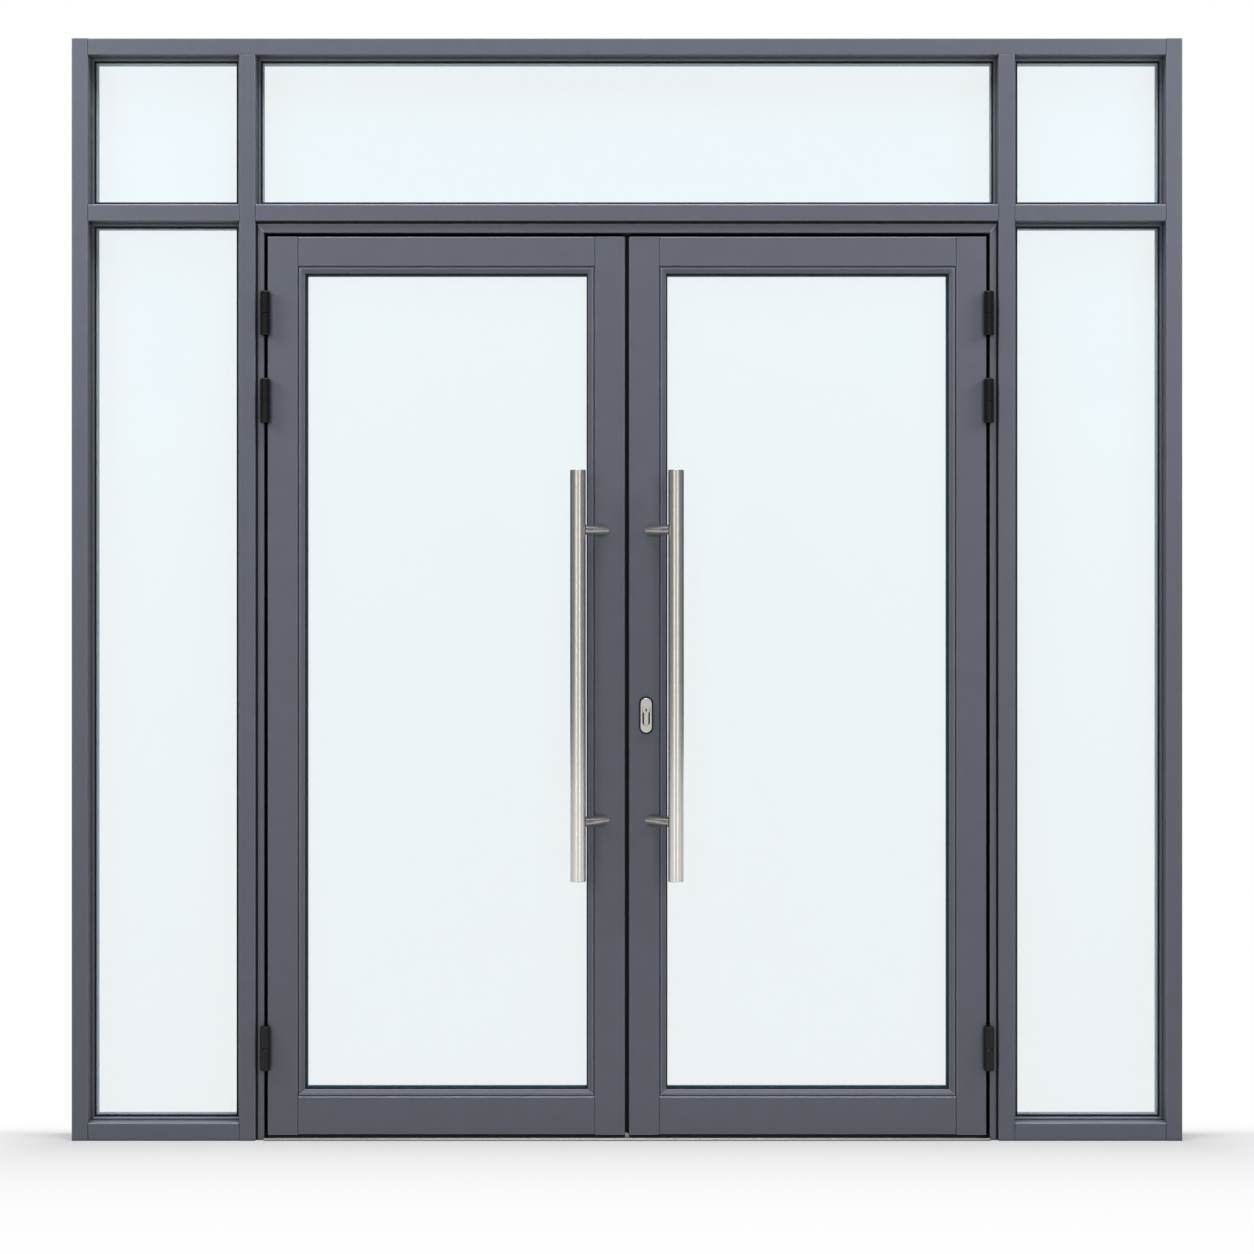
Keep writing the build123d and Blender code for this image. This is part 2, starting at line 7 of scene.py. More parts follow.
# %% load the construction
import json
import bmesh
import bpy
import numpy as np
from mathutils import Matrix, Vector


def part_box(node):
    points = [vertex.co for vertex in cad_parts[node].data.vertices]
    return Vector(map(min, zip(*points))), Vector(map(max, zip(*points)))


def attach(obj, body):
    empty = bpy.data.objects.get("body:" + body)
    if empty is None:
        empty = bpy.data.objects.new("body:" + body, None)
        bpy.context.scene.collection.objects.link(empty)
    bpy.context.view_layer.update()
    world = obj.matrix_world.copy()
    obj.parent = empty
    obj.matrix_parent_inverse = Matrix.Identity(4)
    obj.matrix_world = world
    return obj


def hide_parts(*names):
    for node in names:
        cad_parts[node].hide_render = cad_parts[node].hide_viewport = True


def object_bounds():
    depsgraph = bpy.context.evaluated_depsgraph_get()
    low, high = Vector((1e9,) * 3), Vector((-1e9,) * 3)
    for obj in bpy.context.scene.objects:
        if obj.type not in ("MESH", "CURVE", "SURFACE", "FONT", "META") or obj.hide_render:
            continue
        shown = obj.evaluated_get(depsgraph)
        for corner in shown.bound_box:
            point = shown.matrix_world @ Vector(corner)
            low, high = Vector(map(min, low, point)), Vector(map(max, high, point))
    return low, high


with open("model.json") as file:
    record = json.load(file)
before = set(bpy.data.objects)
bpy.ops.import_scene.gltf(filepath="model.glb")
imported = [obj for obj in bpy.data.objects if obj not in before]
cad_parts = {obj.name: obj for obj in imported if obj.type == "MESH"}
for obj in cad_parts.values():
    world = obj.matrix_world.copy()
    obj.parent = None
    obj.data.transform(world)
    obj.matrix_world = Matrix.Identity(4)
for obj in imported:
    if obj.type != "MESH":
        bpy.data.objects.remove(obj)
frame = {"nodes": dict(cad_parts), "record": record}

construction_box = [list(corner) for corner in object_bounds()]
print("construction box in metres", construction_box)

# %% [markdown]
# Every finish is a small node tree on a Principled shader. The patterns read Object coordinates,
# which are metres here because each piece sits unturned at the origin, so a grain of one
# millimetre is a noise of scale 1000. A helper opens the material and hands back its parts.

# %% start a finish
MILLIMETRE = 0.001
NOISE_LOW = 0.3
NOISE_HIGH = 0.7


def start_finish(name):
    """A new material with its Principled shader and Object coordinates.

    Returned as (material, nodes, link, shader, coords).
    """
    material = bpy.data.materials.new(name)
    material.use_nodes = True
    nodes = material.node_tree.nodes
    shader = nodes["Principled BSDF"]
    coords = nodes.new("ShaderNodeTexCoord").outputs["Object"]
    return material, nodes, material.node_tree.links.new, shader, coords


def grain(nodes, link, coords, size, detail=2.0, stretch=(1.0, 1.0, 1.0)):
    """Noise whose blotches are about size metres across, stretched along the axes by the given factors."""
    mapping = nodes.new("ShaderNodeMapping")
    mapping.inputs["Scale"].default_value = tuple(1.0 / (size * factor) for factor in stretch)
    link(coords, mapping.inputs["Vector"])
    noise = nodes.new("ShaderNodeTexNoise")
    noise.inputs["Scale"].default_value = 1.0
    noise.inputs["Detail"].default_value = detail
    link(mapping.outputs["Vector"], noise.inputs["Vector"])
    return noise.outputs["Fac"]


def spread(nodes, link, value, low, high):
    """Map a noise value, mostly between NOISE_LOW and NOISE_HIGH, to the range from low to high."""
    mapped = nodes.new("ShaderNodeMapRange")
    mapped.inputs["From Min"].default_value = NOISE_LOW
    mapped.inputs["From Max"].default_value = NOISE_HIGH
    mapped.inputs["To Min"].default_value = low
    mapped.inputs["To Max"].default_value = high
    link(value, mapped.inputs["Value"])
    return mapped.outputs["Result"]


def tint(nodes, link, value, dark, light):
    """A colour that runs from dark to light as the noise value rises."""
    mix = nodes.new("ShaderNodeMix")
    mix.data_type = "RGBA"
    link(spread(nodes, link, value, 0.0, 1.0), mix.inputs["Factor"])
    mix.inputs["A"].default_value = (*dark, 1.0)
    mix.inputs["B"].default_value = (*light, 1.0)
    return mix.outputs["Result"]


def calculate(nodes, link, operation, *values):
    """A Math node that combines sockets and plain numbers."""
    node = nodes.new("ShaderNodeMath")
    node.operation = operation
    for socket, value in zip(node.inputs, values):
        if isinstance(value, (int, float)):
            socket.default_value = value
        else:
            link(value, socket)
    return node.outputs["Value"]


def relief(nodes, link, shader, value, depth):
    """Raise the surface along its normal by up to depth metres where the value is high."""
    bump = nodes.new("ShaderNodeBump")
    bump.inputs["Strength"].default_value = 1.0
    bump.inputs["Distance"].default_value = depth
    link(value, bump.inputs["Height"])
    link(bump.outputs["Normal"], shader.inputs["Normal"])


# %% [markdown]
# The frame's finish is a grey powder coat. Powder melts into a film with a fine pebbled skin, so
# the colour is nearly even, the gloss is broken up, and the skin shows only in the highlights.
# A plain grey would look like paper: two scales of noise, for tone and for pebbles, cure that.
# The arrises get a painted highlight, and grooves and inner corners a painted shade. Two occlusion
# nodes find both: one looks outwards for closed corners, the other into the metal for near edges.
# Every face that looks up gets painted light from above, and the normal's height finds those.

# %% powder coat of the profiles
COAT_GREY = (0.123, 0.132, 0.163)
COAT_ROUGHNESS = 0.42
HINGE_BLACK = (0.006, 0.006, 0.0065)
HINGE_ROUGHNESS = 0.18
HINGE_SHEEN = 0.25
TONE_SIZE = 40 * MILLIMETRE
TONE_SWING = 0.03
PEBBLE_SIZE = 0.9 * MILLIMETRE
PEBBLE_DEPTH = 0.03 * MILLIMETRE
GLOSS_SWING = 0.05
# Reach and bend of the painted shade in recesses, then reach and gain of the painted edge highlight, and
# gain of the painted light on upward faces.
RECESS_SHADE_REACH = 8 * MILLIMETRE
RECESS_SHADE_BEND = 1.5
EDGE_HIGHLIGHT_REACH = 1.8 * MILLIMETRE
EDGE_HIGHLIGHT_GAIN = 4.0
TOP_LIGHT_GAIN = 0.9
OPENNESS_RAYS = 2


def openness(nodes, reach, inside):
    """The share of the half-sphere over a point, or under it, that is clear of surfaces within the reach."""
    hollow = nodes.new("ShaderNodeAmbientOcclusion")
    hollow.samples = OPENNESS_RAYS
    hollow.inside = inside
    hollow.only_local = inside
    hollow.inputs["Distance"].default_value = reach
    return hollow.outputs["AO"]


def painted_light_and_shade(nodes, link, colour):
    """The colour times a power of the outer openness (painted shade in grooves and corners), times 1 + gain
    (1 - inner openness) beside the edges (painted highlight), and times 1 + gain z on faces whose normal has
    a height z above the level (painted light from above)."""
    # Painted shade: darker where the outer openness is low, in grooves and inner corners.
    painted_recess_shade = calculate(nodes, link, "POWER", openness(nodes, RECESS_SHADE_REACH, False), RECESS_SHADE_BEND)
    # Painted highlight: paler beside the edges, where the inner openness is low.
    painted_edge_highlight = calculate(nodes, link, "SUBTRACT", 1.0, openness(nodes, EDGE_HIGHLIGHT_REACH, True))
    painted_edge_highlight = calculate(nodes, link, "MULTIPLY_ADD", painted_edge_highlight, EDGE_HIGHLIGHT_GAIN, 1.0)
    # Painted light from above: paler on faces that look up.
    facing = nodes.new("ShaderNodeSeparateXYZ")
    link(nodes.new("ShaderNodeNewGeometry").outputs["True Normal"], facing.inputs["Vector"])
    upward = calculate(nodes, link, "MAXIMUM", facing.outputs["Z"], 0.0)
    painted_top_light = calculate(nodes, link, "MULTIPLY_ADD", upward, TOP_LIGHT_GAIN, 1.0)
    painted_factor = calculate(nodes, link, "MULTIPLY", painted_recess_shade, calculate(nodes, link, "MULTIPLY", painted_edge_highlight, painted_top_light))
    scaled = nodes.new("ShaderNodeVectorMath")
    scaled.operation = "SCALE"
    link(colour, scaled.inputs["Vector"])
    link(painted_factor, scaled.inputs["Scale"])
    return scaled.outputs["Vector"]


def powder_coat(name, colour, roughness):
    """Powder-coated metal: a slow noise for the tone, and a fine one for the pebbles and the gloss."""
    material, nodes, link, shader, coords = start_finish(name)
    tone = grain(nodes, link, coords, TONE_SIZE, detail=4.0)
    pebbles = grain(nodes, link, coords, PEBBLE_SIZE)
    dark = tuple((1 - TONE_SWING) * channel for channel in colour)
    light = tuple((1 + TONE_SWING) * channel for channel in colour)
    # The base colour carries painted shade in recesses, painted highlights on the arrises and painted light
    # on upward faces.
    link(painted_light_and_shade(nodes, link, tint(nodes, link, tone, dark, light)), shader.inputs["Base Color"])
    gloss = spread(nodes, link, pebbles, roughness - GLOSS_SWING, roughness + GLOSS_SWING)
    link(gloss, shader.inputs["Roughness"])
    relief(nodes, link, shader, pebbles, PEBBLE_DEPTH)
    return material


frame_coat = powder_coat("frame_coat", COAT_GREY, COAT_ROUGHNESS)
hinge_coat = powder_coat("hinge_coat", HINGE_BLACK, HINGE_ROUGHNESS)
hinge_coat.node_tree.nodes["Principled BSDF"].inputs["Specular IOR Level"].default_value = HINGE_SHEEN
print("powder coats", frame_coat.name, hinge_coat.name)

# %% [markdown]
# The sealed units are clear float glass. Light has to pass through four faces, and a refracting
# shader would throw dark shadows on the floor, so each pane is a nearly clear film: a low alpha
# lets the background through, and what is left carries the faint blue body and the reflections.

# %% glass
GLASS_BLUE = (0.24, 0.72, 0.92)
GLASS_BODY = 0.05
GLASS_ROUGHNESS = 0.03
GLASS_INDEX = 1.52
GLASS_SHEEN = 0.15

glass, _, _, shader, _ = start_finish("clear_glass")
shader.inputs["Base Color"].default_value = (*GLASS_BLUE, 1.0)
shader.inputs["Roughness"].default_value = GLASS_ROUGHNESS
shader.inputs["IOR"].default_value = GLASS_INDEX
shader.inputs["Specular IOR Level"].default_value = GLASS_SHEEN
shader.inputs["Alpha"].default_value = GLASS_BODY
print("glass alpha on each face", GLASS_BODY)

# %% [markdown]
# Gaskets and seals are black rubber: almost no diffuse light comes back, and a broad weak sheen
# keeps them from being a hole in the picture.

# %% rubber
RUBBER_BLACK = (0.004, 0.004, 0.005)
RUBBER_BLOOM = (0.008, 0.008, 0.009)
RUBBER_ROUGHNESS = (0.5, 0.62)
RUBBER_SHEEN = 0.25
BLOOM_SIZE = 6 * MILLIMETRE

rubber, nodes, link, shader, coords = start_finish("seal_rubber")
bloom = grain(nodes, link, coords, BLOOM_SIZE, detail=3.0)
link(tint(nodes, link, bloom, RUBBER_BLACK, RUBBER_BLOOM), shader.inputs["Base Color"])
link(spread(nodes, link, bloom, *RUBBER_ROUGHNESS), shader.inputs["Roughness"])
shader.inputs["Specular IOR Level"].default_value = RUBBER_SHEEN
print("rubber", rubber.name)

# %% [markdown]
# Satin stainless steel is brushed with an abrasive belt. The scratches are long and thin, so the
# noise is stretched along them. They tilt the surface a little across their length, which widens
# each reflection into a band without blurring it along the bar.

# %% satin steel
STEEL = (0.66, 0.63, 0.598)
STEEL_ROUGHNESS = 0.17
STEEL_BRUSHING = (1.0, 1.0, 60.0)
THRESHOLD_GREY = (0.2, 0.2, 0.205)
THRESHOLD_ROUGHNESS = 0.45
THRESHOLD_BRUSHING = (80.0, 1.0, 1.0)
SPACER_GREY = (0.6, 0.68, 0.74)
SPACER_ROUGHNESS = 0.5
SPACER_BRUSHING = (1.0, 1.0, 1.0)
SPACER_METAL = 0.2
SCRATCH_WIDTH = 0.25 * MILLIMETRE
SCRATCH_DEPTH = 0.004 * MILLIMETRE
SCRATCH_SHADE = 0.93
SCRATCH_GLOSS = 0.04


def brushed_metal(name, colour, roughness, stretch):
    """Metal with thin scratches, stretched along the axes by the given factors."""
    material, nodes, link, shader, coords = start_finish(name)
    scratches = grain(nodes, link, coords, SCRATCH_WIDTH, detail=3.0, stretch=stretch)
    dark = tuple(SCRATCH_SHADE * channel for channel in colour)
    link(tint(nodes, link, scratches, dark, colour), shader.inputs["Base Color"])
    shader.inputs["Metallic"].default_value = 1.0
    gloss = spread(nodes, link, scratches, roughness - SCRATCH_GLOSS, roughness + SCRATCH_GLOSS)
    link(gloss, shader.inputs["Roughness"])
    relief(nodes, link, shader, scratches, SCRATCH_DEPTH)
    return material


satin_steel = brushed_metal("satin_steel", STEEL, STEEL_ROUGHNESS, STEEL_BRUSHING)
threshold_look = (THRESHOLD_GREY, THRESHOLD_ROUGHNESS, THRESHOLD_BRUSHING)
threshold_metal = brushed_metal("threshold_aluminium", *threshold_look)
spacer_metal = brushed_metal("spacer_bar", SPACER_GREY, SPACER_ROUGHNESS, SPACER_BRUSHING)
spacer_metal.node_tree.nodes["Principled BSDF"].inputs["Metallic"].default_value = SPACER_METAL
print("metals", satin_steel.name, threshold_metal.name, spacer_metal.name)

# %% [markdown]
# Each loaded piece names a finish slot in its record, so one table from slot to material covers
# them all. Putting the material in the object's slots changes the look and leaves the mesh alone.

# %% dress the loaded pieces
FINISHES = {
    "frame_coat": frame_coat,
    "clear_glass": glass,
    "spacer_bar": spacer_metal,
    "seal_rubber": rubber,
    "hinge_black": hinge_coat,
    "satin_steel": satin_steel,
    "threshold_aluminium": threshold_metal,
}
for row in frame["record"]["subparts"]:
    mesh = frame["nodes"][row["node"]].data
    mesh.materials.clear()
    mesh.materials.append(FINISHES[row["material_slot"]])

# %% [markdown]
# The new pieces are all lofts: rings of points, one after another, with a quad between each pair
# of neighbours. A ring that shrinks to one point closes an end. Faces run round the ring first
# and along the rings second, so a ring that turns anticlockwise seen from the far end of the
# path faces outwards. Arrays do the work, so a ring of two hundred points costs one line.

# %% lofted surfaces
BODY_SIDES = {"left": -1.0, "right": 1.0}


def loft(rings):
    """(points, faces) of an array of shape (rings, points round, 3).

    Quad k of ring j joins the points k and k+1 of the rings j and j+1.
    """
    count, around = rings.shape[:2]
    ring, step = np.meshgrid(np.arange(count - 1), np.arange(around), indexing="ij")
    beside = (step + 1) % around
    corners = [ring * around + step, ring * around + beside]
    corners += [(ring + 1) * around + beside, (ring + 1) * around + step]
    return rings.reshape(-1, 3), np.stack(corners, axis=-1).reshape(-1, 4)


def turned(profile, centre, around=96):
    """Surface of revolution about a vertical axis through centre.

    The profile point (r, z) becomes the circle (cx + r cos t, cy + r sin t, z).
    """
    radius, height = np.asarray(profile, dtype=float).T[:, :, None]
    angle = np.linspace(0.0, 2 * np.pi, around, endpoint=False)
    circle = [centre[0] + radius * np.cos(angle), centre[1] + radius * np.sin(angle), height + 0 * angle]
    return loft(np.stack(circle, axis=-1))


def prism(corners, low, high):
    """A straight bar along Z.

    The anticlockwise outline of (x, y) corners stands at two levels, closed to its middle at both ends.
    """
    outline = np.asarray(corners, dtype=float)
    middle = np.broadcast_to(outline.mean(axis=0), outline.shape)
    flat = np.stack([middle, outline, outline, middle])
    level = np.broadcast_to(np.array([low, low, high, high])[:, None, None], flat.shape[:2] + (1,))
    return loft(np.concatenate([flat, level], axis=-1))


def block(low, high):
    """A box between two corners, as a prism over its rectangle."""
    (x0, y0, z0), (x1, y1, z1) = low, high
    return prism([(x0, y0), (x1, y0), (x1, y1), (x0, y1)], z0, z1)


def mirrored(part, axis=0, plane=0.0):
    """The part reflected in the plane where the given coordinate is constant.

    Its points go from p to 2 plane - p along that axis, and its faces are turned round to stay outward.
    """
    points, faces = part
    points = points.copy()
    points[:, axis] = 2 * plane - points[:, axis]
    return points, faces[:, ::-1]


def on_side(part, side):
    """A part modelled on the right, for the right side or mirrored to the left."""
    return part if BODY_SIDES[side] > 0 else mirrored(part)


# %% put a piece in the scene
WELD_DISTANCE = 1e-6


def put(name, parts, body, slot, sharp=40.0):
    """One mesh of all the parts, riding a body.

    Coinciding points are welded, and the faces are smooth up to a sharp angle in degrees.
    """
    starts = np.cumsum([0] + [len(points) for points, _ in parts])
    points = np.concatenate([points for points, _ in parts])
    faces = np.concatenate([quads + start for (_, quads), start in zip(parts, starts)])
    mesh = bpy.data.meshes.new(name)
    mesh.from_pydata(points.tolist(), [], faces.tolist())
    shape = bmesh.new()
    shape.from_mesh(mesh)
    bmesh.ops.remove_doubles(shape, verts=shape.verts, dist=WELD_DISTANCE)
    shape.to_mesh(mesh)
    shape.free()
    mesh.polygons.foreach_set("use_smooth", np.ones(len(mesh.polygons), dtype=bool))
    mesh.set_sharp_from_angle(angle=np.radians(sharp))
    mesh.materials.append(FINISHES[slot])
    piece = bpy.data.objects.new(name, mesh)
    bpy.context.scene.collection.objects.link(piece)
    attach(piece, body)
    print(name, "faces", len(mesh.polygons), "on", body)
    return piece


# %% [markdown]
# Each pull handle is a steel tube one metre long, closed by slightly domed caps, on two posts that
# slant from the meeting stile. The tube is a turned profile: dome, rounded rim, the hairline where
# the cap meets the tube, and the long side. Turning keeps it truly round, which the paired
# highlights would betray at once.

# %% pull bar profile
BAR_RADIUS = 19 * MILLIMETRE
CAP_DOME = 0.6 * MILLIMETRE
CAP_RIM = 1.4 * MILLIMETRE
CAP_LENGTH = 3.2 * MILLIMETRE
CAP_HAIRLINE = 0.5 * MILLIMETRE
CAP_POINTS = 9

handle_low, handle_high = (np.array(corner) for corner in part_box("right_leaf_pull_handle"))
bar_middle = np.array([handle_high[0] - BAR_RADIUS, handle_low[1] + BAR_RADIUS])


def bar_end(top, way):
    """Profile of one bar end from its pole outwards; way is 1 at the top, -1 at the foot.

    A shallow parabola, a quarter circle and a hairline groove.
    """
    flat = BAR_RADIUS - CAP_RIM
    dome = np.linspace(0.0, flat, CAP_POINTS)
    rise = CAP_DOME * (1 - (dome / flat) ** 2)
    bend = np.linspace(0.0, np.pi / 2, CAP_POINTS)[1:]
    radius = np.concatenate([dome, flat + CAP_RIM * np.sin(bend)])
    depth = np.concatenate([CAP_DOME - rise, CAP_DOME + CAP_RIM * (1 - np.cos(bend))])
    groove = [CAP_LENGTH, CAP_LENGTH, CAP_LENGTH + CAP_HAIRLINE, CAP_LENGTH + CAP_HAIRLINE]
    inset = [BAR_RADIUS, BAR_RADIUS - CAP_HAIRLINE, BAR_RADIUS - CAP_HAIRLINE, BAR_RADIUS]
    depth = np.concatenate([depth, groove])
    radius = np.concatenate([radius, inset])
    return np.stack([radius, top - way * depth], axis=-1)


bar_profile = np.concatenate([bar_end(handle_low[2], -1), bar_end(handle_high[2], 1)[::-1]])
pull_bar = turned(bar_profile, bar_middle, around=128)
print("bar profile points", len(bar_profile), "ends at", handle_low[2], handle_high[2])

# %% [markdown]
# A post is a round rod on a slant of forty-five degrees, cut off flush with the stile. Sliding every
# point of one circle along the rod until it meets the stile's plane gives the oval foot by itself.

# %% pull posts and handles
POST_RADIUS = 12.5 * MILLIMETRE
POST_SPACING = 711 * MILLIMETRE
POST_POINTS = 64
leaf_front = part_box("right_leaf_top_rail")[0][1]


def slant_post(level):
    """Circle round the rod's line d at the bar's axis, and the same circle moved along d to the stile.

    Each point p goes to the plane y = leaf_front: p + d (leaf_front - p_y) / d_y.
    """
    line = np.array([-1.0, 1.0, 0.0]) / np.sqrt(2.0)
    across = np.array([1.0, 1.0, 0.0]) / np.sqrt(2.0)
    angle = np.linspace(0.0, 2 * np.pi, POST_POINTS, endpoint=False)[:, None]
    start = np.array([*bar_middle, level])
    head = start + POST_RADIUS * (np.cos(angle) * across + np.sin(angle) * np.array([0.0, 0.0, 1.0]))
    foot = head + line * (leaf_front - head[:, 1:2]) / line[1]
    head_pole = np.broadcast_to(start, head.shape)
    foot_pole = np.broadcast_to(foot.mean(axis=0), head.shape)
    return loft(np.stack([head_pole, head, foot, foot_pole]))


bar_level = (handle_low[2] + handle_high[2]) / 2
posts = [slant_post(bar_level + offset * POST_SPACING / 2) for offset in (-1, 1)]
for side in BODY_SIDES:
    parts = [on_side(part, side) for part in [pull_bar] + posts]
    handle = put(f"{side}_pull_handle", parts, f"{side}_leaf", "satin_steel")
    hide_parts(f"{side}_leaf_pull_handle")

# %% [markdown]
# The barrel hinges are black, in two knuckles with rounded shoulders. The lower knuckle belongs to
# the frame and carries the pin; the upper one belongs to the leaf and is bored for it. Each is one
# turned profile from axis to axis, so pin, split and bore come out of the same line of points.

# %% hinge knuckles
KNUCKLE_RADIUS = 12 * MILLIMETRE
KNUCKLE_HEIGHT = 54 * MILLIMETRE
KNUCKLE_SHOULDER = 3.5 * MILLIMETRE
SHOULDER_POINTS = 13
KNUCKLE_SPLIT = 1.1 * MILLIMETRE
KNUCKLE_GAP = 0.6 * MILLIMETRE
PIN_RADIUS = 5 * MILLIMETRE
PIN_LENGTH = 40 * MILLIMETRE
BORE_RADIUS = 5.3 * MILLIMETRE
HINGE_PAIR = 214 * MILLIMETRE
HINGE_PLATE = 3 * MILLIMETRE

hinge_low, hinge_high = (np.array(corner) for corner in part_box("right_leaf_hinges"))
hinge_axis = ((hinge_low[0] + hinge_high[0]) / 2, hinge_low[1] + KNUCKLE_RADIUS)
top_level = hinge_high[2] - KNUCKLE_HEIGHT - KNUCKLE_GAP / 2
hinge_levels = (hinge_low[2] - KNUCKLE_GAP / 2, top_level - HINGE_PAIR, top_level)


def knuckle_side(base, way):
    """Profile of a knuckle's outside from its outer pole to its split.

    A shoulder of a quarter circle, the side and a small bevel.
    """
    bend = np.linspace(0.0, np.pi / 2, SHOULDER_POINTS)
    radius = KNUCKLE_RADIUS - KNUCKLE_SHOULDER * (1 - np.sin(bend))
    height = KNUCKLE_SHOULDER * (1 - np.cos(bend))
    radius = np.concatenate([[0.0], radius, [KNUCKLE_RADIUS, KNUCKLE_RADIUS - KNUCKLE_SPLIT]])
    height = np.concatenate([[0.0], height, [KNUCKLE_HEIGHT - KNUCKLE_SPLIT, KNUCKLE_HEIGHT]])
    return np.stack([radius, base + way * height], axis=-1)


def frame_knuckle(level):
    """Lower knuckle: the side upwards to the split, then in to the pin and up it to its pole."""
    split = level - KNUCKLE_GAP / 2
    pin = [(PIN_RADIUS, split), (PIN_RADIUS, split + PIN_LENGTH), (0.0, split + PIN_LENGTH)]
    return turned(np.concatenate([knuckle_side(split - KNUCKLE_HEIGHT, 1), pin]), hinge_axis)


def leaf_knuckle(level):
    """Upper knuckle: from the bore's blind end to the split, then outwards and up the side to its pole."""
    split = level + KNUCKLE_GAP / 2
    bore = [(0.0, split + PIN_LENGTH), (BORE_RADIUS, split + PIN_LENGTH), (BORE_RADIUS, split)]
    return turned(np.concatenate([bore, knuckle_side(split + KNUCKLE_HEIGHT, -1)[::-1]]), hinge_axis)


# %% hinge plates and pieces
STOP_REACH = 20 * MILLIMETRE

plate_back = hinge_high[1]
jamb_inner = -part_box("left_door_jamb")[1][0] + STOP_REACH
leaf_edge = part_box("right_leaf_hinge_stile")[1][0]


def hinge_plate(x_low, z_low):
    """The flat arm of a knuckle, from the barrel's axis back along the edge that it is fixed to."""
    return block((x_low, hinge_axis[1], z_low), (x_low + HINGE_PLATE, plate_back, z_low + KNUCKLE_HEIGHT))


frame_parts = [frame_knuckle(level) for level in hinge_levels]
lower_ends = [level - KNUCKLE_GAP / 2 - KNUCKLE_HEIGHT for level in hinge_levels]
frame_parts += [hinge_plate(jamb_inner - HINGE_PLATE, lower_end) for lower_end in lower_ends]
leaf_parts = [leaf_knuckle(level) for level in hinge_levels]
leaf_parts += [hinge_plate(leaf_edge, level + KNUCKLE_GAP / 2) for level in hinge_levels]
for side in BODY_SIDES:
    fixed_parts = [on_side(part, side) for part in frame_parts]
    fixed = put(f"{side}_frame_barrels", fixed_parts, "frame", "hinge_black")
    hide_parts(f"{side}_frame_hinges")
    moving_parts = [on_side(part, side) for part in leaf_parts]
    moving = put(f"{side}_leaf_barrels", moving_parts, f"{side}_leaf", "hinge_black")
    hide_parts(f"{side}_leaf_hinges")

# %% [markdown]
# The lock shows as an oval cover on a black base, with the profile cylinder in a slot of the cover.
# Cover, slot and base are ovals with straight flanks, so one function draws them, and the cover is
# a loft through a row of such ovals: out along the edge, over the rounded rim, down into the recess
# and back through the slot.

# %% lock cover and base
COVER_RIM = 3.5 * MILLIMETRE
COVER_RECESS = 1.5 * MILLIMETRE
COVER_DRAFT = 0.4 * MILLIMETRE
COVER_EDGE = 1.0 * MILLIMETRE
COVER_EDGE_POINTS = 7
BASE_EDGE = 0.5 * MILLIMETRE
LOCK_GAP = 0.3 * MILLIMETRE

cover_low, cover_high = (np.array(corner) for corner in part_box("lock_covers"))
base_low, base_high = (np.array(corner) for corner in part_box("lock_bases"))
cylinder_low, cylinder_high = (np.array(corner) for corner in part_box("lock_cylinder"))
leaf_middle = (cover_low[1] + cover_high[1]) / 2


def oval(low, high, inset=0.0, points=48):
    """Anticlockwise oval in (x, z) that fills the box from low to high less an inset.

    Two half circles joined by straight flanks.
    """
    x_mid = (low[0] + high[0]) / 2
    radius = (high[0] - low[0]) / 2 - inset
    bend = np.linspace(0.0, np.pi, points)
    upper_z = high[2] - inset - radius
    lower_z = low[2] + inset + radius
    upper = np.stack([x_mid + radius * np.cos(bend), upper_z + radius * np.sin(bend)], axis=-1)
    lower = np.stack([x_mid - radius * np.cos(bend), lower_z - radius * np.sin(bend)], axis=-1)
    return np.concatenate([upper, lower])


def stacked(outlines, depths):
    """Loft through (x, z) outlines at the given y depths."""
    x, z = np.moveaxis(np.stack(outlines), -1, 0)
    y = np.broadcast_to(np.asarray(depths)[:, None], x.shape)
    return loft(np.stack([x, y, z], axis=-1))


def both_faces(part):
    """The part on the outside of the leaf and its mirror image on the inside."""
    return [part, mirrored(part, axis=1, plane=leaf_middle)]


slot_low = cylinder_low - LOCK_GAP
slot_high = cylinder_high + LOCK_GAP
bend = np.linspace(0.0, np.pi / 2, COVER_EDGE_POINTS)
edge_insets = COVER_EDGE * (1 - np.cos(bend))
edge_depths = cover_low[1] + COVER_EDGE * (1 - np.sin(bend))
recess_wall = [COVER_RIM, COVER_RIM + COVER_DRAFT]
cover_lines = [oval(slot_low, slot_high), oval(cover_low, cover_high)]
cover_lines += [oval(cover_low, cover_high, inset) for inset in edge_insets]
cover_lines += [oval(cover_low, cover_high, inset) for inset in recess_wall]
cover_lines += [oval(slot_low, slot_high), oval(slot_low, slot_high)]
cover_depths = [base_low[1], base_low[1], *edge_depths, cover_low[1], cover_low[1] + COVER_RECESS]
cover_depths += [cover_low[1] + COVER_RECESS, base_low[1]]
cover = put("lock_cover", both_faces(stacked(cover_lines, cover_depths)), "right_leaf", "satin_steel")
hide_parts("lock_covers")

base_lines = [oval(base_low, base_high, inset) for inset in (0.0, 0.0, BASE_EDGE)]
base_middle = np.broadcast_to(base_lines[0].mean(axis=0), base_lines[0].shape)
base_lines = [base_middle] + base_lines + [base_middle]
base_depths = [leaf_front, leaf_front, base_low[1] + BASE_EDGE, base_low[1], base_low[1]]
base = put("lock_base", both_faces(stacked(base_lines, base_depths)), "right_leaf", "hinge_black")
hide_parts("lock_bases")

# %% [markdown]
# The cylinder's outline is a keyhole: a round head over a narrow web with a round foot. Its front
# carries the key slot, a small oval well. The same loft works because the outline and the well
# have equal numbers of points, so ring follows ring from the edge over the face into the well.

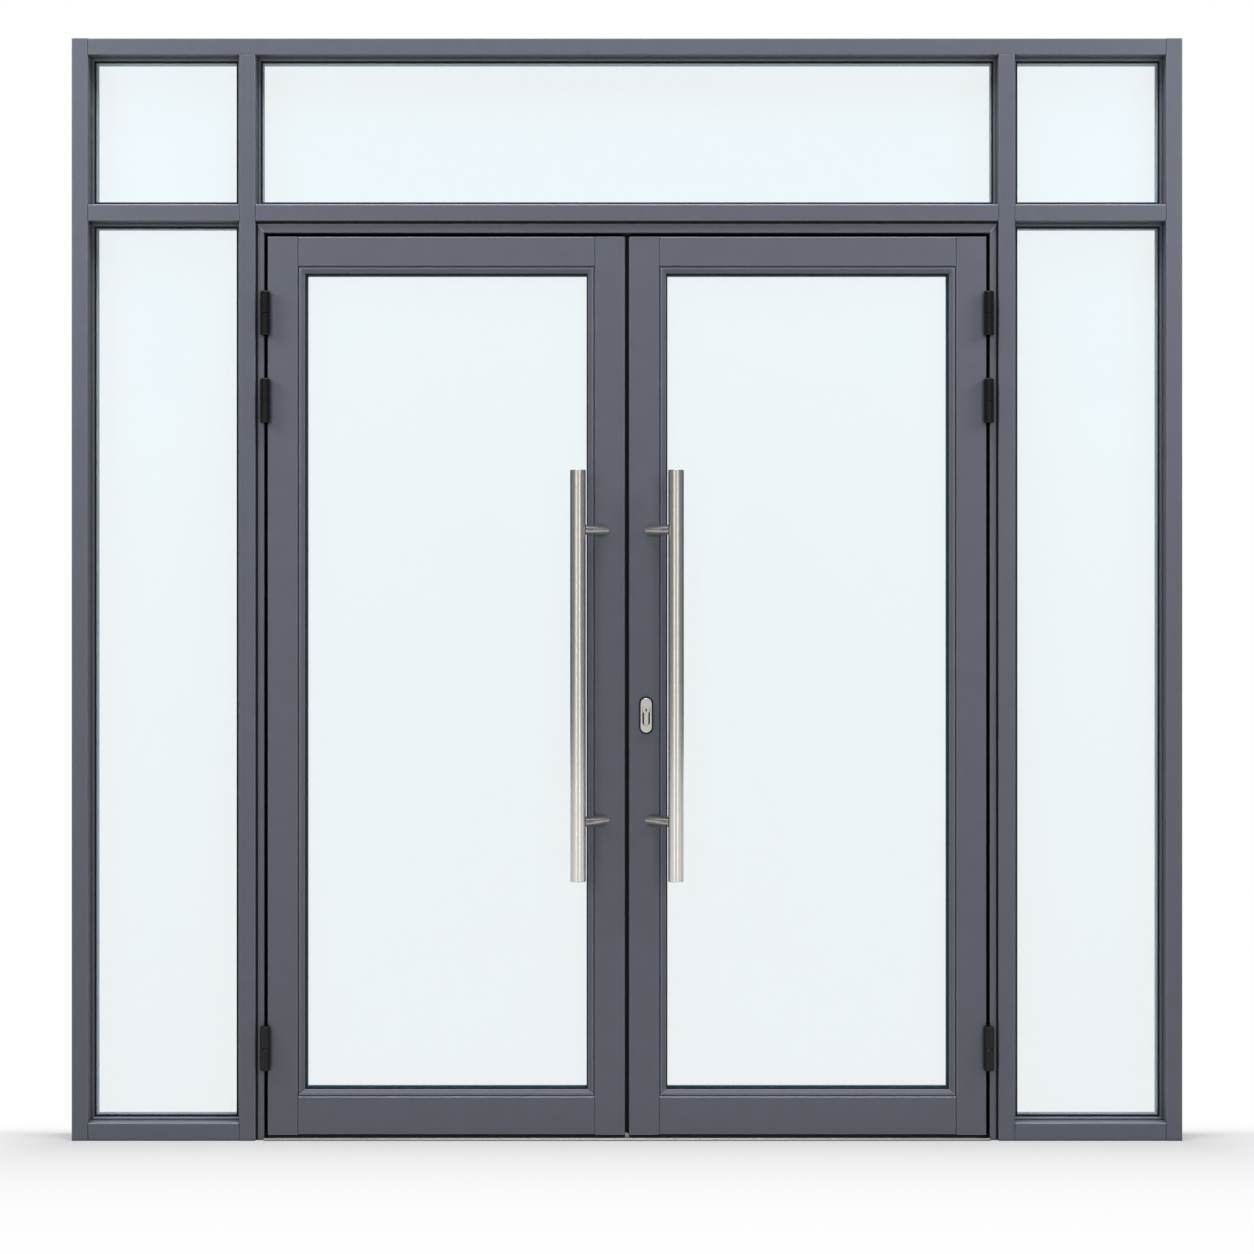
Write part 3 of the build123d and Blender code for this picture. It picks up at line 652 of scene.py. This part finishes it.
# %% lock cylinder
PLUG_RADIUS = 9 * MILLIMETRE
WEB_HALF = 5.25 * MILLIMETRE
CYLINDER_EDGE = 0.5 * MILLIMETRE
KEY_SLOT = np.array([1.7, 0.0, 4.1]) * MILLIMETRE
KEY_DEPTH = 6 * MILLIMETRE
KEY_SHADE = 0.4 * MILLIMETRE

plug = np.array([(cylinder_low[0] + cylinder_high[0]) / 2, 0.0, cylinder_high[2] - PLUG_RADIUS])


def keyhole(inset, points=48):
    """Anticlockwise keyhole in (x, z), moved inwards by an inset.

    The head's arc from where the web leaves it, then the foot's half circle.
    """
    head = PLUG_RADIUS - inset
    web = WEB_HALF - inset
    neck = np.arccos(web / head)
    over = np.linspace(-neck, np.pi + neck, points)
    under = np.linspace(0.0, np.pi, points)
    foot = cylinder_low[2] + WEB_HALF
    arc = np.stack([plug[0] + head * np.cos(over), plug[2] + head * np.sin(over)], axis=-1)
    toe = np.stack([plug[0] - web * np.cos(under), foot - web * np.sin(under)], axis=-1)
    return np.concatenate([arc, toe])


key_line = oval(plug - KEY_SLOT, plug + KEY_SLOT)
key_end = np.broadcast_to(key_line.mean(axis=0), key_line.shape)
cylinder_lines = [keyhole(0.0), keyhole(0.0), keyhole(CYLINDER_EDGE), key_line, key_line, key_end]
cylinder_depths = [leaf_middle, cylinder_low[1] + CYLINDER_EDGE, cylinder_low[1], cylinder_low[1]]
cylinder_depths += [cylinder_low[1] + KEY_DEPTH, cylinder_low[1] + KEY_DEPTH]
cylinder_parts = both_faces(stacked(cylinder_lines, cylinder_depths))
cylinder = put("lock_barrel", cylinder_parts, "right_leaf", "satin_steel")
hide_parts("lock_cylinder")

# Painted shade in the key slot: a black lining of the well, from just below its rim to its end.
key_shade_core = [key_end, key_line, key_line, key_end]
key_depths = cylinder_low[1] + np.array([KEY_DEPTH, KEY_DEPTH, KEY_SHADE, KEY_SHADE])
put("key_slot_shade", both_faces(stacked(key_shade_core, key_depths)), "right_leaf", "seal_rubber")

# %% [markdown]
# Real doors close their gaps with black rubber: lips that almost meet in the middle, and a sweep
# that brushes the threshold. The black sheet over the rebate faces round the leaves is painted shade,
# standing in for the deep shade of the gap. The lips stand one behind the other and the sweep stops
# just short, so either leaf can open first. All are straight bars.

# %% painted shade in the rebate
SHADE_SHEET = 1.2 * MILLIMETRE
SHADE_SHEET_FRONT = 2 * MILLIMETRE
DOOR_HEAD_FACE = 28 * MILLIMETRE

stop_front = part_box("door_frame_seals")[1][1]
threshold_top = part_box("threshold")[1][2]
head_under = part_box("left_door_jamb")[1][2] - DOOR_HEAD_FACE
# A black sheet on the jamb and head faces inside the gap: painted shade.
shade_sheet_y = (leaf_front + SHADE_SHEET_FRONT, stop_front)
jamb_shade_sheet = block((jamb_inner - SHADE_SHEET, shade_sheet_y[0], threshold_top), (jamb_inner, shade_sheet_y[1], head_under))
head_shade_sheet = block((-jamb_inner, shade_sheet_y[0], head_under - SHADE_SHEET), (jamb_inner, shade_sheet_y[1], head_under))
put("rebate_shade_sheet", [jamb_shade_sheet, mirrored(jamb_shade_sheet), head_shade_sheet], "frame", "seal_rubber")

# %% meeting lips and floor sweeps
LIP = 1.0 * MILLIMETRE
LIP_REACH = 1.0 * MILLIMETRE
LIP_DEPTHS = {"left": 20 * MILLIMETRE, "right": 14 * MILLIMETRE}
SWEEP_GAP = 0.8 * MILLIMETRE
SWEEP_SETBACK = 4 * MILLIMETRE

meeting_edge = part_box("right_leaf_meeting_stile")[0][0]
leaf_base, leaf_top = (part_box("right_leaf_hinge_stile")[end][2] for end in (0, 1))
for side in BODY_SIDES:
    lip_y = leaf_front + LIP_DEPTHS[side]
    lip = block((-LIP_REACH, lip_y, leaf_base), (meeting_edge, lip_y + LIP, leaf_top))
    sweep_y = leaf_front + SWEEP_SETBACK
    sweep_base = threshold_top + SWEEP_GAP
    sweep = block((meeting_edge, sweep_y, sweep_base), (leaf_edge, sweep_y + 2 * LIP, leaf_base))
    put(f"{side}_lips", [on_side(lip, side), on_side(sweep, side)], f"{side}_leaf", "seal_rubber")

# %% [markdown]
# Jambs and stiles are cut from hollow bars, so their ends are open. A real door has moulded caps
# pressed into them, in the frame's colour. Each cap is a small block a hair narrower than the hole
# and just inside the cut, so it touches no wall and the frame keeps its height.

# %% end caps
PROFILE_FACE = 40 * MILLIMETRE
PROFILE_WALL = 2.5 * MILLIMETRE
STILE_FACE = 74 * MILLIMETRE
END_CAP_PLAY = 0.2 * MILLIMETRE
END_CAP_SETBACK = 0.3 * MILLIMETRE
END_CAP_THICKNESS = 3 * MILLIMETRE


def end_cap(low, high, end, way):
    """A block in the hole of a tube with the (x, y) corners low and high.

    It lies below the end if way is -1, or above it if way is 1.
    """
    inset = PROFILE_WALL + END_CAP_PLAY
    near = end + way * END_CAP_SETBACK
    far = near + way * END_CAP_THICKNESS
    base, top = sorted((near, far))
    return block((low[0] + inset, low[1] + inset, base), (high[0] - inset, high[1] - inset, top))


jamb_low, jamb_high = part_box("right_jamb")
jamb_cap = end_cap((jamb_high[0] - PROFILE_FACE, jamb_low[1]), jamb_high[:2], jamb_high[2], -1)
put("jamb_caps", [jamb_cap, mirrored(jamb_cap)], "frame", "frame_coat")

leaf_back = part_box("right_leaf_top_rail")[1][1]
stile_caps = []
for stile_edge in (meeting_edge, leaf_edge - STILE_FACE):
    stile = ((stile_edge, leaf_front), (stile_edge + STILE_FACE, leaf_back))
    stile_caps += [end_cap(*stile, leaf_top, -1), end_cap(*stile, leaf_base, 1)]
for side in BODY_SIDES:
    put(f"{side}_stile_caps", [on_side(part, side) for part in stile_caps], f"{side}_leaf", "frame_coat")

# %% [markdown]
# The camera stands square to the door, a little below the middle of its height, as the reference
# view does. It looks level, so the uprights stay parallel, and from five and a half metres away a
# longish lens shows only a little of the jambs' inner sides.

# %% camera
FRONT_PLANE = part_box("head")[0][1]
VIEW_DISTANCE = 5.5
VIEW_FIELD = 3.070
EYE_HEIGHT = 1.2583
SENSOR_WIDTH = 36.0

lens = bpy.data.cameras.new("camera")
lens.sensor_width = SENSOR_WIDTH
lens.lens = SENSOR_WIDTH * VIEW_DISTANCE / VIEW_FIELD
camera = bpy.data.objects.new("camera", lens)
camera.location = (0.0, FRONT_PLANE - VIEW_DISTANCE, EYE_HEIGHT)
camera.rotation_euler = (np.pi / 2, 0.0, 0.0)
bpy.context.scene.collection.objects.link(camera)
bpy.context.scene.camera = camera
print("camera", tuple(camera.location), "lens", round(lens.lens, 1))

# %% [markdown]
# The studio is a pale floor under a white surround. Camera, mirror and glass rays that miss the
# shadow get plain white, so the background is white without flooding the door with light. Beside
# the door the floor shows its own lit grey shading, and a painted shadow gradient takes it to that
# white within a metre, sooner behind the glass: the contact shadow is partly real and partly painted, and no
# horizon shows.

# %% helper for ray kinds
def seen_rays(nodes, link, *kinds):
    """1 for rays of the named kinds, such as Is Camera Ray, and 0 for all others."""
    rays = nodes.new("ShaderNodeLightPath")
    result = rays.outputs[kinds[0]]
    for kind in kinds[1:]:
        result = calculate(nodes, link, "MAXIMUM", result, rays.outputs[kind])
    return result


# %% floor
FLOOR_REACH = 14.0
FLOOR_GREY = (0.62, 0.62, 0.63)
FLOOR_ROUGHNESS = 0.8
FLOOR_SHADE = 0.62
FLOOR_FADE = 0.26
BEHIND_HASTE = 8.0

floor_mesh = bpy.data.meshes.new("floor")
floor_corners = FLOOR_REACH * np.array([(-1, -1, 0), (1, -1, 0), (1, 1, 0), (-1, 1, 0)])
floor_mesh.from_pydata(floor_corners.tolist(), [], [(0, 1, 2, 3)])
floor = bpy.data.objects.new("floor", floor_mesh)
bpy.context.scene.collection.objects.link(floor)

floor_paint, nodes, link, shader, coords = start_finish("floor_paint")
shader.inputs["Base Color"].default_value = (*FLOOR_GREY, 1.0)
shader.inputs["Roughness"].default_value = FLOOR_ROUGHNESS
place = nodes.new("ShaderNodeSeparateXYZ")
link(coords, place.inputs["Vector"])
half_width = construction_box[1][0]
beside = calculate(nodes, link, "ABSOLUTE", place.outputs["X"])
beside = calculate(nodes, link, "SUBTRACT", beside, half_width)
beside = calculate(nodes, link, "MAXIMUM", beside, 0.0)
before = calculate(nodes, link, "SUBTRACT", FRONT_PLANE, place.outputs["Y"])
before = calculate(nodes, link, "MAXIMUM", before, 0.0)
behind = calculate(nodes, link, "ADD", place.outputs["Y"], FRONT_PLANE)
behind = calculate(nodes, link, "MAXIMUM", behind, 0.0)
deep = calculate(nodes, link, "MULTIPLY_ADD", behind, BEHIND_HASTE, before)
squares = [calculate(nodes, link, "POWER", length, 2.0) for length in (beside, deep)]
away = calculate(nodes, link, "ADD", *squares)
away = calculate(nodes, link, "POWER", away, 0.5)
away = calculate(nodes, link, "DIVIDE", away, -FLOOR_FADE)
# Painted shadow: near the door the lit grey floor shows, and it gives way to white with the distance.
shade = calculate(nodes, link, "MULTIPLY", calculate(nodes, link, "EXPONENT", away), FLOOR_SHADE)
fade = calculate(nodes, link, "SUBTRACT", 1.0, shade)
seen = seen_rays(nodes, link, "Is Camera Ray", "Is Glossy Ray", "Is Transmission Ray")
white = nodes.new("ShaderNodeEmission")
mix = nodes.new("ShaderNodeMixShader")
link(calculate(nodes, link, "MULTIPLY", fade, seen), mix.inputs["Fac"])
link(shader.outputs["BSDF"], mix.inputs[1])
link(white.outputs["Emission"], mix.inputs[2])
link(mix.outputs["Shader"], nodes["Material Output"].inputs["Surface"])
floor_mesh.materials.append(floor_paint)
print("floor reaches", FLOOR_REACH, "m and fades within", FLOOR_FADE)

# %% [markdown]
# The surround is white where the camera or the glass looks, and behind the door for mirrors too.
# In front of the door it is a dim room, so that the round bars keep dark flanks between their
# highlights, and it gives the coat an even, weak fill.

# %% helper for smooth steps
def eased(nodes, link, value, span, ends):
    """A smooth step of a socket from the first of the ends, at the span's low value, to the second."""
    step = nodes.new("ShaderNodeMapRange")
    step.interpolation_type = "SMOOTHSTEP"
    for name, number in zip(("From Min", "From Max", "To Min", "To Max"), (*span, *ends)):
        step.inputs[name].default_value = number
    link(value, step.inputs["Value"])
    return step.outputs["Result"]


# %% surround
SURROUND_FILL = 0.045
ROOM_AHEAD = 0.75
ROOM_ASIDE = 0.3
ROOM_BEHIND = 0.2
ROOM_OVERHEAD = 0.95
FRONT_CONE = (-1.0, -0.5)
REAR_CONE = (0.1, 0.6)
CEILING_RISE = (0.12, 0.45)
BACKDROP_CONE = (0.94, 0.99)

world = bpy.data.worlds.new("surround")
bpy.context.scene.world = world
world.use_nodes = True
nodes = world.node_tree.nodes
link = world.node_tree.links.new
direction = nodes.new("ShaderNodeSeparateXYZ")
link(nodes.new("ShaderNodeTexCoord").outputs["Generated"], direction.inputs["Vector"])
front = eased(nodes, link, direction.outputs["Y"], FRONT_CONE, (ROOM_AHEAD, ROOM_ASIDE))
rear = eased(nodes, link, direction.outputs["Y"], REAR_CONE, (1.0, ROOM_BEHIND))
room = calculate(nodes, link, "MULTIPLY", front, rear)
ceiling = eased(nodes, link, direction.outputs["Z"], CEILING_RISE, (0.0, ROOM_OVERHEAD))
backdrop = eased(nodes, link, direction.outputs["Y"], BACKDROP_CONE, (0.0, 1.0))
mirrored_room = calculate(nodes, link, "MAXIMUM", room, ceiling)
mirrored_room = calculate(nodes, link, "MAXIMUM", mirrored_room, backdrop)
glossy = seen_rays(nodes, link, "Is Glossy Ray")
mirror_light = calculate(nodes, link, "MULTIPLY", mirrored_room, glossy)
plain_white = seen_rays(nodes, link, "Is Camera Ray", "Is Transmission Ray")
fill = calculate(nodes, link, "MULTIPLY", calculate(nodes, link, "SUBTRACT", 1.0, glossy), SURROUND_FILL)
strength = calculate(nodes, link, "MAXIMUM", mirror_light, plain_white)
strength = calculate(nodes, link, "MAXIMUM", strength, fill)
link(strength, nodes["Background"].inputs["Strength"])
nodes["Background"].inputs["Color"].default_value = (1.0, 1.0, 1.0, 1.0)
print("surround fill", SURROUND_FILL)

# %% [markdown]
# Seven soft lights shape the door. A wide one overhead grades the uprights from pale at the top to
# dark at the foot, and a small one beside each jamb lifts its upper half. Two tall strips to the left
# and right put paired highlights on the round bars, and two main lamps above them throw the bars'
# soft shadows towards the middle. The main lamps and the small ones are hidden from mirror rays, so
# that they don't show in steel or glass.

# %% helper for soft lights
def soft_light(name, place, target, width, height, power):
    """A rectangular lamp at place that faces target, with its size in metres and its power in watts."""
    data = bpy.data.lights.new(name, "AREA")
    data.shape = "RECTANGLE"
    data.size = width
    data.size_y = height
    data.energy = power
    lamp = bpy.data.objects.new(name, data)
    direction = np.subtract(target, place)
    yaw = np.arctan2(direction[0], direction[1])
    pitch = np.arctan2(direction[2], np.hypot(direction[0], direction[1]))
    lamp.rotation_euler = (np.pi / 2 + pitch, 0.0, -yaw)
    lamp.location = place
    bpy.context.scene.collection.objects.link(lamp)
    return lamp


# %% lights
KEY_PLACE = (0.0, -0.9, 5.0)
KEY_TARGET = (0.0, -0.1, 1.2)
KEY_SIZE = (2.6, 0.8)
KEY_POWER = 105
SIDE_PLACES = {"strip": (2.1, -4.3, 1.1), "high": (2.6, -0.9, 2.8), "main": (2.5, -4.3, 2.6)}
SIDE_TARGETS = {"strip": (0.1, 0.0, 1.1), "high": (2.0, 0.0, 2.0), "main": (0.1, 0.0, 1.8)}
SIDE_SIZES = {"strip": (0.45, 2.3), "high": (0.8, 0.8), "main": (0.35, 0.5)}
SIDE_POWERS = {"strip": 7, "high": 27, "main": 27}

soft_light("key", KEY_PLACE, KEY_TARGET, *KEY_SIZE, KEY_POWER)
for side, way in BODY_SIDES.items():
    for kind, (across, ahead, height) in SIDE_PLACES.items():
        target_across, target_ahead, target_height = SIDE_TARGETS[kind]
        place = (way * across, ahead, height)
        target = (way * target_across, target_ahead, target_height)
        lamp = soft_light(f"{side}_{kind}", place, target, *SIDE_SIZES[kind], SIDE_POWERS[kind])
        lamp.visible_glossy = kind == "strip"
bpy.context.scene.view_settings.view_transform = "Standard"
